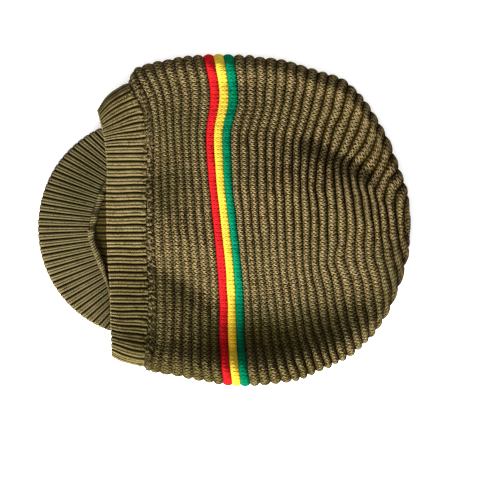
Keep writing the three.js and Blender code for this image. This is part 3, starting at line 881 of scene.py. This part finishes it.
def knit_material(name, dark, light, other, wales, groove_tone,
                  line_depth, leg_depth, pit_depth, grain_depth):
    """Yarn with V stitches from the knit coordinates, with fuzz and sheen. Painted shade darkens the gaps
    between stitches, the grooves and the folds, and turns them towards the second hue, which also comes at
    random.

    wales is how many wales there are in one unit of the first knit coordinate.
    """
    g = Nodes(name)
    uv = g.tree.nodes.new("ShaderNodeUVMap")
    uv.uv_map = "knit"
    split = g.add("ShaderNodeSeparateXYZ", Vector=uv.outputs[0])
    place = g.tree.nodes.new("ShaderNodeTexCoord").outputs["Object"]
    groove, shade, knot = g.field("groove"), g.field("shade"), g.field("knot")

    # The stitches wander a little, and where the knit is knotted they lose their order.
    loose = g.plus(0.45, g.times(knot, 3.5))
    wander = g.times(g.minus(g.noise(place, 240.0, 2.0), 0.5), loose)
    a = g.plus(g.times(split.outputs[0], wales), wander)
    b = g.plus(split.outputs[1], wander)
    # A wale is a column of V stitches: two slanting legs, a dark line beside it and pits inside it. The line
    # and pits are carved into the bump, and also painted darker in the colour as painted shade.
    side = g.from_middle(g.math("FRACT", a))
    line = g.ramp(side, 0.2, 0.48)
    slant = g.math("FRACT", g.minus(b, g.times(side, 2.0)))
    between = g.ramp(g.from_middle(slant), 0.14, 0.46)
    pit = g.ramp(g.from_middle(g.math("FRACT", b)), 0.4, 0.1)
    pit = g.times(g.ramp(side, 0.16, 0.0), pit)
    carved = g.plus(g.times(line, line_depth), g.times(between, leg_depth))
    carved = g.plus(carved, g.times(pit, pit_depth))

    fuzz = g.noise(place, 2600.0, 3.0)
    grain = g.noise(place, 640.0, 1.0)
    clump = g.noise(place, 240.0, 2.0)
    broad = g.noise(place, 34.0, 3.0)
    # Painted shade: the carved gaps darken the tone. The knots are a little brighter, and fuzz, grain, clumps
    # and broad patches vary the tone at random.
    tone = g.minus(g.plus(1.35, g.times(knot, 0.2)), carved)
    tangled = g.plus(grain_depth, g.times(knot, 3.0))
    for part, amount in ((fuzz, 0.5), (grain, tangled), (clump, 0.7), (broad, 0.5)):
        tone = g.plus(tone, g.times(g.minus(part, 0.5), amount))
    lit = g.ramp(tone, 0.0, 1.1)

    # The second hue comes partly at random, and partly as painted shade where the fold shadows and the
    # grooves fall.
    hue = g.times(g.ramp(broad, 0.35, 0.65), 0.3)
    hue = g.plus(hue, g.times(g.ramp(clump, 0.35, 0.65), 0.25))
    hue = g.plus(hue, g.plus(shade, g.times(groove, 0.7)))
    colour = g.blend(hue, (*light, 1), (*other, 1))
    colour = g.blend(lit, (*dark, 1), colour)
    # Painted shade: the fold shadows darken the colour, then the grooves and inner faces darken it towards
    # the deepest tone.
    colour = g.blend(g.times(shade, 0.85), colour, (*dark, 1))
    deepest = tuple(c * groove_tone for c in dark)
    colour = g.blend(g.ramp(groove, 0.1, 0.75), colour, (*deepest, 1))
    g.plug(g.shader.inputs["Base Color"], colour)
    g.plug(g.shader.inputs["Roughness"], g.plus(0.78, g.times(fuzz, 0.2)))
    g.shader.inputs["Specular IOR Level"].default_value = 0.0
    g.shader.inputs["Sheen Weight"].default_value = 0.02
    g.shader.inputs["Sheen Tint"].default_value = (*light, 1)
    g.shader.inputs["Sheen Roughness"].default_value = 0.5
    height = g.minus(g.times(fuzz, 0.2), carved)
    bump = g.add("ShaderNodeBump", Strength=1.0, Distance=0.0005, Height=height)
    g.plug(g.shader.inputs["Normal"], bump.outputs[0])
    return g.material


olive = knit_material(
    "olive_knit", dark=(0.0090, 0.0053, 0.0003), light=(0.192, 0.134, 0.063), other=(0.122, 0.104, 0.043),
    wales=1.0, groove_tone=1.2, line_depth=0.85, leg_depth=1.5, pit_depth=1.2, grain_depth=2.8)
rib_olive = knit_material(
    "olive_rib", dark=(0.0180, 0.0115, 0.0022), light=(0.135, 0.0985, 0.044), other=(0.088, 0.075, 0.031),
    wales=2.0, groove_tone=0.8, line_depth=0.75, leg_depth=0.6, pit_depth=0.3, grain_depth=2.4)
peak_olive = knit_material(
    "olive_peak", dark=(0.008, 0.0052, 0.0012), light=(0.079, 0.060, 0.028), other=(0.069, 0.060, 0.025),
    wales=2.0, groove_tone=0.8, line_depth=0.6, leg_depth=0.45, pit_depth=0.3, grain_depth=1.8)
red = knit_material(
    "red_knit", dark=(0.10, 0.002, 0.003), light=(0.338, 0.0078, 0.0093), other=(0.343, 0.007, 0.008),
    wales=1.0, groove_tone=0.6, line_depth=0.4, leg_depth=0.6, pit_depth=0.4, grain_depth=2.6)
gold = knit_material(
    "gold_knit", dark=(0.19, 0.11, 0.006), light=(0.385, 0.286, 0.029), other=(0.38, 0.268, 0.022),
    wales=1.0, groove_tone=0.6, line_depth=0.35, leg_depth=0.55, pit_depth=0.4, grain_depth=2.2)
green = knit_material(
    "green_knit", dark=(0.0, 0.017, 0.008), light=(0.001, 0.099, 0.046), other=(0.001, 0.094, 0.040),
    wales=1.0, groove_tone=0.5, line_depth=0.4, leg_depth=0.6, pit_depth=0.4, grain_depth=2.6)

# The pieces

ribbed_band(rib_olive)
ribbed_peak(peak_olive)
rim_seam(peak_olive)
welted_piece("knit_crown_lower", "crown_lower", 0, 8, olive)
welted_piece("knit_stripe_red", "stripe_red", 8, 9, red)
welted_piece("knit_stripe_gold", "stripe_gold", 9, 10, gold)
welted_piece("knit_stripe_green", "stripe_green", 10, 11, green)
welted_piece("knit_crown_upper", "crown_upper", 11, 22, olive)
welted_piece("knit_crown_end", "crown_upper", 22, LAST_RIDGE, olive)

# The table, in metres from here on

FLOOR_REACH, FLOOR_Z = 3, -0.0004

floor_mesh = bpy.data.meshes.new("floor")
floor_corners = [(a * FLOOR_REACH, b * FLOOR_REACH, FLOOR_Z) for a, b in ((-1, -1), (1, -1), (1, 1), (-1, 1))]
floor_mesh.from_pydata(floor_corners, [], [(0, 1, 2, 3)])
floor = bpy.data.objects.new("floor", floor_mesh)
bpy.context.scene.collection.objects.link(floor)
paper = Nodes("paper")
paper.shader.inputs["Base Color"].default_value = (0.92, 0.92, 0.92, 1)
paper.shader.inputs["Roughness"].default_value = 0.9
paper.shader.inputs["Specular IOR Level"].default_value = 0.1
paper.shader.inputs["Emission Color"].default_value = (1, 1, 1, 1)
paper.shader.inputs["Emission Strength"].default_value = 0.32
floor_mesh.materials.append(paper.material)

# Light and camera

WORLD_STRENGTH = 1.15
KEY_PLACE, KEY_SIZE, KEY_POWER = (-0.6, -1.8, 0.64), 0.7, 300  # low in the south-west, and soft
CAMERA_PLACE, PICTURE_WIDTH = (0.01357, -0.01654, 1.5), 0.407

world = bpy.data.worlds.new("studio")
bpy.context.scene.world = world
world.use_nodes = True
world.node_tree.nodes["Background"].inputs[0].default_value = (1, 1, 1, 1)
world.node_tree.nodes["Background"].inputs[1].default_value = WORLD_STRENGTH

key_data = bpy.data.lights.new("key", "AREA")
key_data.shape = "DISK"
key_data.size = KEY_SIZE
key_data.energy = KEY_POWER
key = bpy.data.objects.new("key", key_data)
key.location = KEY_PLACE
key.rotation_mode = "QUATERNION"
key.rotation_quaternion = (-Vector(KEY_PLACE)).to_track_quat("-Z", "Y")
bpy.context.scene.collection.objects.link(key)

camera_data = bpy.data.cameras.new("camera")
camera_data.type = "ORTHO"
camera_data.ortho_scale = PICTURE_WIDTH
camera_data.clip_end = 10
camera = bpy.data.objects.new("camera", camera_data)
camera.location = CAMERA_PLACE
bpy.context.scene.collection.objects.link(camera)
bpy.context.scene.camera = camera
bpy.context.scene.view_settings.view_transform = "Standard"
